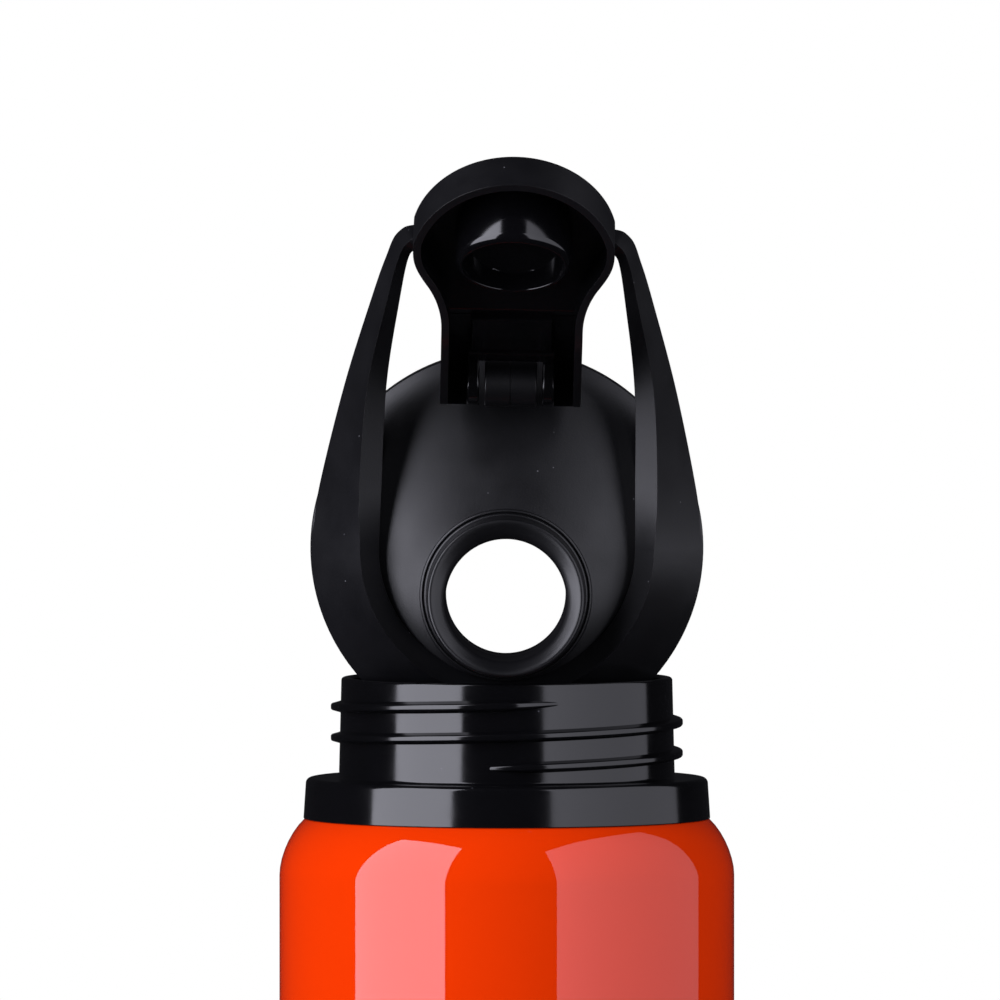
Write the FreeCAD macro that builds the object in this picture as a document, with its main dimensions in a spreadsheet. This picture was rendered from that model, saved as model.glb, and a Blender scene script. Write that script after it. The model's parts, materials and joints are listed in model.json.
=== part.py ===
"""Drinking bottle with its screw lid stood on edge in the mouth and the flip cap open.

Origin: centre of the base, on the surface it stands on. +Z up, -Y the side that the lid's top faces.
The lid's pieces are drawn in the lid's own frame, closed: Z = 0 at the skirt's lower edge, Z along
the lid's axis, +Y towards the hinge. One placement then stands them all in the mouth.
"""
import FreeCAD, Part
import math
import os
import Sketcher

from FreeCAD import Placement, Rotation, Vector

os.makedirs("parts", exist_ok=True)
doc = FreeCAD.newDocument("water_bottle")

# Driving sizes, in millimetres and degrees.
SIZES = {
    # bottle body
    "body_radius": 36.5,
    "body_wall": 0.9,
    "shoulder_height": 195.0,
    "shoulder_round": 12.0,
    "shoulder_turn": 47.5,
    "foot_radius": 29.5,
    "foot_round": 6.0,
    "base_hollow": 4.0,
    # collar and neck
    "collar_radius": 32.65,
    "collar_height": 6.8,
    "collar_draft": 0.8,
    "collar_rim": 1.25,
    "neck_radius": 26.95,
    "neck_draft": 0.4,
    "neck_height": 16.1,
    "bore_radius": 25.0,
    "seat_gap": 0.1,
    "curl_reach": 1.6,
    "curl_height": 1.2,
    "seal_height": 2.2,
    # screw thread
    "thread_pitch": 4.96,
    "thread_depth": 1.35,
    "thread_root": 2.0,
    "thread_crest": 1.0,
    "thread_rise": 10.4,
    "thread_low": 13.6,
    "thread_start": -103.0,
    "thread_gap": 0.3,
    # lid
    "liner_wall": 1.45,
    "liner_gap": 0.05,
    "skirt_wall": 1.35,
    "skirt_height": 15.5,
    "dome_wall": 1.3,
    "dome_rise": 8.5,
    "gasket_height": 1.2,
    "plate_height": 1.0,
    "spout_offset": 7.3,
    "spout_base": 13.8,
    "spout_outer": 12.45,
    "spout_mouth": 12.1,
    "throat_radius": 9.55,
    "tube_wall": 1.05,
    "lip_height": 6.8,
    "lip_tilt": 12.0,
    "lip_depth": 2.0,
    # hinge
    "hinge_back": 26.5,
    "hinge_height": 27.5,
    "barrel_radius": 3.6,
    "barrel_half": 4.15,
    "pin_radius": 1.25,
    "pin_play": 0.05,
    "open_angle": 119.0,
    # flip cap
    "head_radius": 16.35,
    "head_wall": 1.5,
    "flank_wall": 0.9,
    "head_height": 7.5,
    "head_roof": 1.3,
    "head_tilt": 24.0,
    "head_drop": 3.35,
    "arm_half": 11.2,
    "arm_wall": 1.4,
    "arm_sweep": 16.8,
    "arm_start": 12.9,
    "arm_top": 5.0,
    "arm_bottom": 3.2,
    "ear_inner": 5.2,
    "ear_outer": 6.9,
    "ear_radius": 3.4,
    "box_level": 2.4,
    "box_length": 15.0,
    "plug_gap": 0.4,
    "plug_wall": 1.25,
    "plug_level": 2.3,
    # carry handle
    "ridge_inset": 8.0,
    "ridge_height": 11.5,
    "handle_inset": 11.0,
    "handle_lip": 8.0,
    "loop_reach": 20.3,
    "loop_half": 16.7,
    "loop_rise": 10.0,
    "loop_width": 4.6,
    "loop_depth": 5.0,
    # how the lid stands in the mouth
    "stand_gap": 0.45,
    "lid_roll": 1.3,
}

sheet = doc.addObject("Spreadsheet::Sheet", "Sizes")
for row, (alias, number) in enumerate(SIZES.items(), start=1):
    sheet.set(f"A{row}", alias)
    sheet.set(f"B{row}", str(number))
    sheet.setAlias(f"B{row}", alias)
doc.recompute()

BITE = 0.4          # how far a boss or thread is sunk into what carries it
SPARE = 40.0        # how far a cutting shape runs past what it cuts


class Size:
    """A length or angle with its value and its formula over the sheet."""

    def __init__(self, value, formula):
        self.value = float(value)
        self.formula = formula

    @staticmethod
    def of(other):
        return other if isinstance(other, Size) else Size(other, f"({other})")

    def _join(self, other, sign, value):
        return Size(value, f"({self.formula} {sign} {Size.of(other).formula})")

    def __add__(self, other):
        return self._join(other, "+", self.value + Size.of(other).value)

    def __radd__(self, other):
        return Size.of(other) + self

    def __sub__(self, other):
        return self._join(other, "-", self.value - Size.of(other).value)

    def __rsub__(self, other):
        return Size.of(other) - self

    def __mul__(self, other):
        return self._join(other, "*", self.value * Size.of(other).value)

    def __rmul__(self, other):
        return Size.of(other) * self

    def __truediv__(self, other):
        return self._join(other, "/", self.value / Size.of(other).value)

    def __rtruediv__(self, other):
        return Size.of(other) / self

    def __neg__(self):
        return Size(-self.value, f"(0 - {self.formula})")


def size(alias):
    return Size(sheet.get(alias), f"Sizes.{alias}")


def sine(angle):
    return Size(math.sin(math.radians(angle.value)), f"sin({angle.formula})")


def cosine(angle):
    return Size(math.cos(math.radians(angle.value)), f"cos({angle.formula})")


def tangent(angle):
    return Size(math.tan(math.radians(angle.value)), f"tan({angle.formula})")


def root(square):
    return Size(math.sqrt(square.value), f"sqrt({square.formula})")


def bind(item, prop, amount):
    """Sets one property of an object from a size, and keeps it bound to the sheet."""
    item.setExpression(prop, Size.of(amount).formula)
    return item


def outline(sketch, corners):
    """Closed outline through the corners, each (across, up) or (across, up, radius).

    A radius makes the side that ends at that corner an arc: it bulges to the right of the way
    travelled where the radius is positive, and to the left where it is negative.
    """
    total = len(corners)
    ends = []
    for index, corner in enumerate(corners):
        before = corners[index - 1]
        start = Vector(Size.of(before[0]).value, Size.of(before[1]).value, 0)
        end = Vector(Size.of(corner[0]).value, Size.of(corner[1]).value, 0)
        if len(corner) == 2:
            side = sketch.addGeometry(Part.LineSegment(start, end), False)
            ends.append(((side, 1), (side, 2)))
            continue
        bend = Size.of(corner[2])
        radius = abs(bend.value)
        turn = 1 if bend.value > 0 else -1
        chord = end - start
        rise = math.sqrt(max(radius**2 - (chord.Length / 2) ** 2, 0.0))
        across = Vector(-chord.y, chord.x, 0).normalize()
        centre = (start + end) / 2 + across * (rise * turn)
        first, last = (start, end) if turn > 0 else (end, start)
        angles = [math.atan2(p.y - centre.y, p.x - centre.x) for p in (first, last)]
        if angles[1] < angles[0]:
            angles[1] += 2 * math.pi
        circle = Part.Circle(centre, Vector(0, 0, 1), radius)
        side = sketch.addGeometry(Part.ArcOfCircle(circle, *angles), False)
        ends.append(((side, 1), (side, 2)) if turn > 0 else ((side, 2), (side, 1)))
        which = sketch.addConstraint(Sketcher.Constraint("Radius", side, radius))
        sketch.setExpression(f"Constraints[{which}]", f"abs({bend.formula})")
    for index in range(total):
        after = ends[(index + 1) % total][0]
        sketch.addConstraint(Sketcher.Constraint("Coincident", *ends[index][1], *after))
    for index, corner in enumerate(corners):
        for axis, kind, amount in ((-2, "DistanceX", corner[0]), (-1, "DistanceY", corner[1])):
            amount = Size.of(amount)
            if amount.value == 0:
                sketch.addConstraint(Sketcher.Constraint("PointOnObject", *ends[index][1], axis))
                continue
            which = sketch.addConstraint(Sketcher.Constraint(kind, -1, 1, *ends[index][1], amount.value))
            sketch.setExpression(f"Constraints[{which}]", amount.formula)
    return sketch


def add(kind, name, **sizes):
    """A Part primitive or operation with its sizes bound to the sheet."""
    item = doc.addObject(kind, name)
    for prop, amount in sizes.items():
        bind(item, prop, amount)
    return item


def put(item, x=0, y=0, z=0, axis=None, angle=0):
    """Places an object: turned about an axis through its own origin, then moved."""
    for letter, amount in zip("xyz", (x, y, z)):
        bind(item, f"Placement.Base.{letter}", amount)
    if axis is not None:
        item.Placement.Rotation = Rotation(Vector(*axis), Size.of(angle).value)
    return item


def cut(name, base, *tools):
    """The base with every tool taken away."""
    tool = tools[0] if len(tools) == 1 else join(f"{name}_tools", *tools)
    item = doc.addObject("Part::Cut", name)
    item.Base = base
    item.Tool = tool
    return item


def join(name, *shapes):
    """The shapes as one."""
    item = doc.addObject("Part::MultiFuse", name)
    item.Shapes = list(shapes)
    return item


def common(name, first, second):
    """What both shapes share."""
    item = doc.addObject("Part::MultiCommon", name)
    item.Shapes = [first, second]
    return item


def disc(name, radius, low, high, x=0, y=0):
    """An upright cylinder between two heights."""
    return put(add("Part::Cylinder", name, Radius=radius, Height=high - low), x, y, low)


def block(name, x, y, z):
    """A box between pairs of coordinates along X, Y and Z."""
    spans = [(Size.of(low), Size.of(high)) for low, high in (x, y, z)]
    lengths = dict(zip(("Length", "Width", "Height"), (high - low for low, high in spans)))
    return put(add("Part::Box", name, **lengths), *(low for low, high in spans))


def crosswise(name, radius, x_low, x_high, y, z):
    """A cylinder that lies along X between two places."""
    rod = add("Part::Cylinder", name, Radius=radius, Height=Size.of(x_high) - x_low)
    return put(rod, x_low, y, z, axis=(0, 1, 0), angle=90)


def turned_body(name, corners):
    """A PartDesign body turned about Z from an outline of (radius, height) corners."""
    body = doc.addObject("PartDesign::Body", name)
    sketch = body.newObject("Sketcher::SketchObject", f"{name}_outline")
    plane = next(f for f in body.Origin.OriginFeatures if f.Role == "XZ_Plane")
    sketch.AttachmentSupport = [(plane, "")]
    sketch.MapMode = "FlatFace"
    outline(sketch, corners)
    turn = body.newObject("PartDesign::Revolution", f"{name}_turn")
    turn.Profile = sketch
    turn.ReferenceAxis = (sketch, ["V_Axis"])
    turn.Angle = 360.0
    body.Tip = turn
    return body


def add_thread(body, root_radius, low, depth):
    """A screw thread on a turned body, from its radius and its lower end; a negative depth stands inwards."""
    sketch = body.newObject("Sketcher::SketchObject", f"{body.Name}_thread_outline")
    plane = next(f for f in body.Origin.OriginFeatures if f.Role == "XZ_Plane")
    sketch.AttachmentSupport = [(plane, "")]
    sketch.MapMode = "FlatFace"
    foot = root_radius - (BITE if depth.value > 0 else -BITE)
    crest = root_radius + depth
    half_root = size("thread_root") / 2
    half_crest = size("thread_crest") / 2
    outline(sketch, [
        (foot, low - half_root), (crest, low - half_crest),
        (crest, low + half_crest), (foot, low + half_root),
    ])
    helix = body.newObject("PartDesign::AdditiveHelix", f"{body.Name}_thread")
    helix.Profile = sketch
    helix.ReferenceAxis = (sketch, ["V_Axis"])
    helix.Mode = "pitch-height-angle"
    bind(helix, "Pitch", size("thread_pitch"))
    bind(helix, "Height", size("thread_rise"))
    body.Tip = helix
    return body


# --- bottle ---------------------------------------------------------------------------------------

wall = size("body_wall")
body_radius = size("body_radius")
shoulder = size("shoulder_height")
turn_angle = size("shoulder_turn")
shoulder_round = size("shoulder_round")
collar_radius = size("collar_radius")
neck_radius = size("neck_radius")
collar_top = shoulder + size("collar_height")
rim_height = collar_top + size("neck_height")

round_end = body_radius - shoulder_round * (1 - cosine(turn_angle))
round_top = shoulder - (round_end - collar_radius) / tangent(turn_angle)
round_start = round_top - shoulder_round * sine(turn_angle)
curl_outer = collar_radius - size("collar_rim") - 0.8
neck_inner = curl_outer - size("curl_reach") - wall
curl_top = collar_top - 2.4
inner_round = shoulder_round - wall
seat_high = shoulder + 0.5 / tangent(turn_angle)
foot = size("foot_radius")
foot_round = size("foot_round")


def make_bottle_body():
    """Drawn can: concave base on a standing ring, straight wall, round shoulder and curled mouth."""
    hollow = size("base_hollow")
    base_bend = (foot * foot + hollow * hollow) / (hollow * 2)
    return turned_body("bottle_body", [
        (0, hollow + wall, base_bend),
        (0, hollow),
        (foot, 0, -base_bend),
        (body_radius - foot_round, 0),
        (body_radius, foot_round, foot_round),
        (body_radius, round_start),
        (round_end, round_top, shoulder_round),
        (collar_radius - 0.5, seat_high),
        (neck_inner + wall + 0.4, shoulder + 1.5),
        (neck_inner + wall, shoulder + 2.0),
        (neck_inner + wall, curl_top - size("curl_height")),
        (curl_outer, curl_top - size("curl_height")),
        (curl_outer, curl_top),
        (neck_inner, curl_top),
        (neck_inner, shoulder + 1.4),
        (collar_radius - 0.5 - wall * cosine(turn_angle),
         seat_high - wall * sine(turn_angle)),
        (round_end - wall * cosine(turn_angle), round_top - wall * sine(turn_angle)),
        (body_radius - wall, round_start, -inner_round),
        (body_radius - wall, foot_round),
        (body_radius - foot_round, wall, -(foot_round - wall)),
        (foot, wall),
    ])


def make_neck_collar():
    """Moulded collar: flange over the curled mouth, bore, outside screw thread."""
    gap = size("seat_gap")
    collar_upper = collar_radius - size("collar_draft")
    lip = collar_radius - size("collar_rim")
    inner_foot = shoulder - 1.5
    body = turned_body("neck_collar", [
        (size("bore_radius"), inner_foot),
        (neck_radius, inner_foot),
        (neck_radius, curl_top + gap),
        (lip, curl_top + gap),
        (lip, shoulder + 1.5),
        (collar_radius - 0.5, seat_high + gap * 1.5),
        (collar_radius, shoulder + gap),
        (collar_upper + 0.5, collar_top - 0.5),
        (collar_upper, collar_top, 0.5),
        (neck_radius, collar_top),
        (neck_radius - size("neck_draft"), rim_height),
        (size("bore_radius"), rim_height),
    ])
    add_thread(body, neck_radius, rim_height - size("thread_low"), size("thread_depth"))
    body.Placement.Rotation = Rotation(Vector(0, 0, 1), size("thread_start").value)
    return body


def make_collar_seal():
    """Ring squeezed between the aluminium mouth and the collar's tube."""
    low = shoulder + 1.6
    width = neck_inner - neck_radius
    return turned_body("collar_seal", [
        (neck_radius + 0.02, low),
        (neck_radius + width - 0.02, low),
        (neck_radius + width - 0.02, low + size("seal_height")),
        (neck_radius + 0.02, low + size("seal_height")),
    ])


# --- lid, in its own frame ------------------------------------------------------------------------

thread_wall = neck_radius + size("thread_depth") + size("thread_gap")
liner_outer = thread_wall + size("liner_wall")
shell_inner = liner_outer + size("liner_gap")
skirt_radius = shell_inner + size("skirt_wall")
skirt_height = size("skirt_height")
dome_top = skirt_height + size("dome_rise")
spout_y = -size("spout_offset")
throat = size("throat_radius")
hinge_y = size("hinge_back")
hinge_z = size("hinge_height")
plug_y = spout_y
lip_z = hinge_z + size("lip_height")
lip_tilt = size("lip_tilt")
gasket_z = skirt_height - 1.1
plate_z = gasket_z + size("gasket_height") + 0.1
TUBE_TOP = lip_z - size("lip_depth") - throat * tangent(lip_tilt) - 0.6


def dome_sections(inset):
    """The dome's circles from the skirt to the spout, as (height, radius, centre's Y)."""
    spout_base = size("spout_base")
    drop = skirt_radius - spout_base
    rise = size("dome_rise")
    down = inset * 0.6
    inward = inset * 0.8
    return [
        (skirt_height - inset * 0.2, skirt_radius - 0.05 - inset, 0),
        (skirt_height + 0.24 * rise - down, skirt_radius - 0.18 * drop - inward, 0.12 * spout_y),
        (skirt_height + 0.53 * rise - down, skirt_radius - 0.48 * drop - inward, 0.38 * spout_y),
        (skirt_height + 0.82 * rise - down, skirt_radius - 0.78 * drop - inward, 0.77 * spout_y),
        (dome_top - inset, spout_base - inward, spout_y),
    ]


def dome(name, inset=0.0):
    """The skewed dome as a solid, drawn in by a wall's thickness."""
    rings = []
    for index, (height, radius, centre) in enumerate(dome_sections(Size.of(inset))):
        ring = add("Part::Circle", f"{name}_ring_{index}", Radius=radius)
        rings.append(put(ring, 0, centre, height))
    loft = doc.addObject("Part::Loft", name)
    loft.Sections = rings
    loft.Solid = True
    loft.Ruled = False
    return loft


def lip_cutter(name, lift=0.0):
    """A block whose underside is the spout's sloping lip."""
    slab = add("Part::Box", name, Length=SPARE * 2, Width=SPARE * 2, Height=SPARE)
    slab.Placement = Placement(Vector(-SPARE, -SPARE, 0), Rotation())
    turned = Placement(
        Vector(0, spout_y.value, lip_z.value + lift), Rotation(Vector(1, 0, 0), -lip_tilt.value)
    )
    slab.Placement = turned.multiply(slab.Placement)
    return slab


def make_lid_shell():
    """Skirt, dome, spout and the knuckle that carries the hinge pin."""
    dome_wall = size("dome_wall")
    skirt = disc("skirt", skirt_radius, 0, skirt_height)
    spout_low = dome_top - 3.0
    spout = add(
        "Part::Cone", "spout_outside", Radius1=size("spout_base") - 0.9, Radius2=size("spout_outer"),
        Height=lip_z + 6.0 - spout_low,
    )
    put(spout, 0, spout_y, spout_low)
    collar = disc("spout_ring", size("spout_base"), spout_low, dome_top + 0.7, y=spout_y)
    barrel = size("barrel_radius")
    half = size("barrel_half")
    knuckle = crosswise("knuckle", barrel, -half, half, hinge_y, hinge_z)
    post = block(
        "knuckle_post", (-half, half), (hinge_y - barrel, hinge_y + barrel), (skirt_height + 1.2, hinge_z)
    )
    trimmed = cut("spout_trimmed", spout, lip_cutter("lip_plane"))
    outside = join("shell_outside", skirt, dome("dome_outside"), trimmed, collar, knuckle, post)
    hollow = disc("skirt_hollow", shell_inner, -1.0, skirt_height - 0.2)
    inner_dome = dome("dome_inside", dome_wall)
    tube_bore = disc("tube_bore", throat + size("tube_wall") + 0.05, skirt_height, TUBE_TOP, y=spout_y)
    throat_bore = disc("throat_bore", throat, skirt_height, lip_z + 12.0, y=spout_y)
    funnel = add(
        "Part::Cone", "funnel", Radius1=throat - 0.2, Radius2=size("spout_mouth") + 1.2,
        Height=size("lip_depth") * 1.5,
    )
    put(funnel, 0, spout_y, lip_z - size("lip_depth"), axis=(1, 0, 0), angle=-lip_tilt)
    pin_hole = crosswise("knuckle_hole", size("pin_radius"), -half - 1, half + 1, hinge_y, hinge_z)
    return cut("lid_shell", outside, hollow, inner_dome, tube_bore, throat_bore, funnel, pin_hole)


def make_lid_liner():
    """Inner cup with the inside screw thread, the sealing plate and the spout's tube."""
    low = Size.of(0.8)
    body = turned_body("liner_cup", [
        (0, plate_z),
        (thread_wall - 1.2, plate_z),
        (thread_wall, gasket_z + 0.5),
        (thread_wall, low),
        (liner_outer, low),
        (liner_outer, skirt_height - 1.2),
        (thread_wall - 0.9, plate_z + 0.2),
        (thread_wall - 3.2, plate_z + size("plate_height")),
        (0, plate_z + size("plate_height")),
    ])
    add_thread(body, thread_wall, low + size("thread_root") * 0.7, -(size("thread_depth") - 0.1))
    tube = disc("liner_tube", throat + size("tube_wall"), plate_z + BITE, TUBE_TOP, y=spout_y)
    bore = disc("liner_bore", throat, plate_z - 1.0, TUBE_TOP + 1.0, y=spout_y)
    return cut("lid_liner", join("liner_outside", body, tube), bore)


def make_lid_gasket():
    """Flat sealing ring that the neck's rim presses on."""
    return turned_body("lid_gasket", [
        (size("bore_radius") - 0.6, gasket_z),
        (neck_radius + 0.3, gasket_z),
        (neck_radius + 0.3, gasket_z + size("gasket_height")),
        (size("bore_radius") - 0.6, gasket_z + size("gasket_height")),
    ])


def make_hinge_pin():
    """Plain steel pin: pressed in the knuckle, running in the cap's ears."""
    reach = size("ear_outer") - 0.2
    return crosswise("hinge_pin", size("pin_radius"), -reach, reach, hinge_y, hinge_z)


def make_carry_handle():
    """Roof-section ring round the dome, drawn out behind into a loop that rises past the hinge."""
    values = {name: size(name).value for name in (
        "ridge_inset", "ridge_height", "handle_inset", "handle_lip", "loop_reach", "loop_half",
        "loop_rise", "loop_width", "loop_depth",
    )}
    edge = skirt_radius.value
    low = skirt_height.value
    ridge = edge - values["ridge_inset"]
    inside = edge - values["handle_inset"]
    high = low + values["ridge_height"]
    lip = low + values["handle_lip"]
    section = Part.makePolygon([
        Vector(edge, 0, low), Vector(ridge, 0, high), Vector(inside, 0, lip),
        Vector(inside, 0, low), Vector(edge, 0, low),
    ])
    half_ring = Part.Face(section).revolve(Vector(0, 0, 0), Vector(0, 0, 1), -180)
    back = edge + values["loop_reach"]
    half = values["loop_half"]
    width = values["loop_width"]
    rise = values["loop_rise"]
    depth = values["loop_depth"]
    # Stations along one arm: outer, ridge and inner points in plan, then the lift of the underside.
    arm_wide = edge - 1.0
    stations = [
        ((edge, 0), (ridge, 0), (inside, 0), 0.0, high - low, lip - low),
        ((arm_wide - 0.3, 9.6), (ridge + 0.3, 9.6), (inside - 0.2, 9.6), 0.4, 11.4, 8.6),
        ((half + 9.8, 25.8), (half + 6.1, 25.8), (half + 3.1, 25.8), rise * 0.5, 9.0, 7.0),
        ((half + 5.9, back - 12.4), (half + 3.3, back - 12.4), (half + 1.3, back - 12.4),
         rise * 1.1, depth + 1.0, depth - 0.2),
        ((half + 3.7, back - 5.6), (half + 1.6, back - 5.5), (half, back - 5.4),
         rise * 1.45, depth, depth - 1.2),
        ((half + 1.7, back - 1.3), (half, back - 2.8), (half - 1.3, back - 4.2),
         rise * 1.6, depth, depth - 1.2),
        ((half - 2.4, back), (half - 2.8, back - 2.0), (half - 3.0, back - width),
         rise * 1.65, depth, depth - 1.2),
        ((0, back), (0, back - 2.0), (0, back - width), rise * 1.65, depth, depth - 1.2),
    ]
    wires = []
    for outer, top, inner, lift, ridge_up, lip_up in stations:
        foot_z = low + lift
        wires.append(Part.makePolygon([
            Vector(*outer, foot_z), Vector(*top, foot_z + ridge_up), Vector(*inner, foot_z + lip_up),
            Vector(*inner, foot_z), Vector(*outer, foot_z),
        ]))
    arm = Part.makeLoft(wires, True, True)
    other = arm.mirror(Vector(0, 0, 0), Vector(1, 0, 0))
    ring = half_ring.fuse([arm, other])
    skirt = Part.makeCylinder(edge, low + 0.02, Vector(0, 0, 0))
    spout_ring = doc.getObject("spout_ring").Shape
    handle = ring.cut([skirt, doc.getObject("dome_outside").Shape, spout_ring])
    item = doc.addObject("Part::Feature", "carry_handle")
    item.Shape = max(handle.Solids, key=lambda solid: solid.Volume)
    return item


# --- flip cap, closed -----------------------------------------------------------------------------

def tilted(item, along=0.0, up=0.0, x=0.0):
    """Places an object in the head's sloping frame, whose origin is the rim's centre."""
    frame = Placement(
        Vector(0, plug_y.value, hinge_z.value + size("head_drop").value),
        Rotation(Vector(1, 0, 0), -size("head_tilt").value),
    )
    item.Placement = frame.multiply(Placement(Vector(x, along, up), Rotation()))
    return item


def head(name, radius, sweep, low, high):
    """The cup's round head with its two swept-in flanks."""
    height = Size.of(high) - low
    cup = tilted(add("Part::Cylinder", f"{name}_round", Radius=radius, Height=height), up=Size.of(low).value)
    centre_x = size("arm_half") + size("arm_sweep")
    flanks = []
    for side, word in ((-1, "left"), (1, "right")):
        flank = add("Part::Cylinder", f"{name}_{word}", Radius=sweep, Height=height + 2.0)
        flanks.append(tilted(
            flank, along=size("arm_start").value, up=Size.of(low).value - 1.0, x=side * centre_x.value
        ))
    return cut(f"{name}_head", cup, *flanks)


def arm_block(name, half, corners):
    """A prism across X from an outline of (forward from the hinge, above the hinge) corners."""
    sketch = doc.addObject("Sketcher::SketchObject", f"{name}_outline")
    outline(sketch, corners)
    turn = Rotation(Vector(0, -1, 0), Vector(0, 0, 1), Vector(-1, 0, 0), "XYZ")
    sketch.Placement = Placement(Vector(half.value, hinge_y.value, hinge_z.value), turn)
    prism = doc.addObject("Part::Extrusion", name)
    prism.Base = sketch
    prism.DirMode = "Custom"
    prism.Dir = Vector(-1, 0, 0)
    bind(prism, "LengthFwd", half * 2)
    prism.Solid = True
    return prism


def make_flip_cap():
    """Round head, channel neck with side walls, and two ears on the hinge pin."""
    top = size("arm_top")
    bottom = size("arm_bottom")
    arm_wall = size("arm_wall")
    roof = size("head_roof")
    reach = hinge_y - plug_y
    tilt = size("head_tilt")
    join_at = reach - size("arm_start") * cosine(tilt)
    outer_head = head("cap_outside", size("head_radius"), size("arm_sweep"), 0.0, size("head_height"))
    inner_head = head(
        "cap_inside", size("head_radius") - size("head_wall"), size("arm_sweep") + size("flank_wall"),
        -1.0, size("head_height") - roof,
    )
    neck = arm_block("neck_outside", size("arm_half"), [
        (-2.2, -bottom), (reach - (size("head_drop") + bottom) / tangent(tilt), -bottom),
        (join_at + 4.0, size("head_drop") + (join_at + 4.0 - reach) * tangent(tilt)),
        (join_at + 4.0, top + 0.6), (join_at - 2.5, top), (-2.2, top), (-4.2, top - 2.4), (-4.2, -bottom + 1.6),
    ])
    hollow = arm_block("neck_inside", size("arm_half") - arm_wall, [
        (-2.8, -bottom - 2.0), (join_at + 3.0, -bottom - 2.0), (join_at + 6.0, 0.0),
        (join_at + 6.0, top - arm_wall + 0.3), (join_at - 2.5, top - arm_wall),
        (-2.8, top - arm_wall),
    ])
    shell = cut("cap_shell", join("cap_body", outer_head, neck), join("cap_hollow", inner_head, hollow))
    outer = size("ear_outer")
    inner = size("ear_inner")
    ear_radius = size("ear_radius")
    level = size("box_level")
    raised = block(
        "cap_box", (-outer, outer), (hinge_y - size("box_length"), hinge_y - 2.0),
        (hinge_z + level, hinge_z + top - 0.5),
    )
    ears = []
    for low, high, word in ((-outer, -inner, "left"), (inner, outer, "right")):
        ears.append(crosswise(f"ear_{word}", ear_radius, low, high, hinge_y, hinge_z))
        ears.append(block(
            f"ear_web_{word}", (low, high), (hinge_y - ear_radius, hinge_y + ear_radius),
            (hinge_z, hinge_z + top - 0.5),
        ))
    whole = join("cap_whole", shell, raised, *ears)
    swing = crosswise("barrel_room", size("barrel_radius") + 0.4, -inner, inner, hinge_y, hinge_z)
    notch = block(
        "barrel_notch", (-inner, inner), (hinge_y - 2.2, hinge_y + 8.0), (hinge_z - 8.0, hinge_z + top + 4.0)
    )
    pin_room = size("pin_radius") + size("pin_play")
    holes = crosswise("ear_holes", pin_room, -outer - 0.5, outer + 0.5, hinge_y, hinge_z)
    return cut("flip_cap", whole, swing, notch, holes)


def make_spout_plug():
    """Ring plug under the head's roof, entering the throat when the cap is shut."""
    outer = throat - size("plug_gap")
    inner = outer - size("plug_wall")
    low = hinge_z + size("plug_level")
    ring = cut(
        "plug_ring", disc("plug_outside", outer, low, low + SPARE, y=plug_y),
        disc("plug_inside", inner, low - 1.0, low + SPARE + 1.0, y=plug_y),
    )
    room = head(
        "plug_room", size("head_radius") - size("head_wall") - 1.0, size("arm_sweep"),
        -6.0, size("head_height") - size("head_roof"),
    )
    roof = size("head_height") - size("head_roof")
    foot_disc = tilted(
        add("Part::Cylinder", "plug_foot", Radius=outer + 0.6, Height=0.8),
        up=roof.value - 0.8, along=-roof.value * math.tan(math.radians(size("head_tilt").value)),
    )
    return join("spout_plug", common("plug_trimmed", ring, room), foot_disc)


# --- placing the pieces ---------------------------------------------------------------------------

sunk = root(skirt_radius * skirt_radius - size("bore_radius") * size("bore_radius")
            + skirt_height * skirt_height / 4)
lid_axis_height = rim_height + sunk + size("stand_gap")
STANDING = Placement(
    Vector(0, skirt_height.value / 2, lid_axis_height.value), Rotation(Vector(0, 1, 0), size("lid_roll").value)
).multiply(Placement(Vector(0, 0, 0), Rotation(Vector(1, 0, 0), 90)))
OPENED = Placement(Vector(0, hinge_y.value, hinge_z.value), Rotation(Vector(1, 0, 0), -size("open_angle").value))
HINGE_BACK = Placement(Vector(0, -hinge_y.value, -hinge_z.value), Rotation())


def stand(item, swung=False):
    """Moves a lid piece to where it stands in the mouth, with the flip cap's pieces swung open."""
    place = STANDING.multiply(OPENED).multiply(HINGE_BACK) if swung else STANDING
    item.Placement = place.multiply(item.Placement)
    return item


bottle = [make_bottle_body(), make_neck_collar(), make_collar_seal()]
lid = [make_lid_shell(), make_lid_liner(), make_lid_gasket(), make_hinge_pin()]
doc.recompute()
lid.append(make_carry_handle())
cap = [make_flip_cap(), make_spout_plug()]
doc.recompute()

for item in lid:
    stand(item)
for item in cap:
    stand(item, swung=True)
pieces = bottle + lid + cap
for item in pieces:
    item.Label = item.Name
doc.recompute()

for item in doc.Objects:
    if {"Invalid", "Error"} & set(item.State):
        raise RuntimeError(f"{item.Name} failed: {item.State}")
for item in pieces:
    if item.Shape.isNull() or not item.Shape.isValid():
        raise RuntimeError(f"{item.Name} has no valid shape")
    item.Shape.exportStep(f"parts/{item.Name}.step")
    box = item.Shape.BoundBox
    print(f"{item.Name}: {len(item.Shape.Solids)} solid, {item.Shape.Volume:.0f} mm3, "
          f"x {box.XMin:.1f}..{box.XMax:.1f}, y {box.YMin:.1f}..{box.YMax:.1f}, z {box.ZMin:.1f}..{box.ZMax:.1f}")
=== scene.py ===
"""Finished looks of the water bottle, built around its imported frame."""
import json
import logging
import math
from dataclasses import dataclass
from enum import Enum
from typing import Any, Callable, Sequence

import bmesh
import bpy
from mathutils import Matrix, Vector


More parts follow.
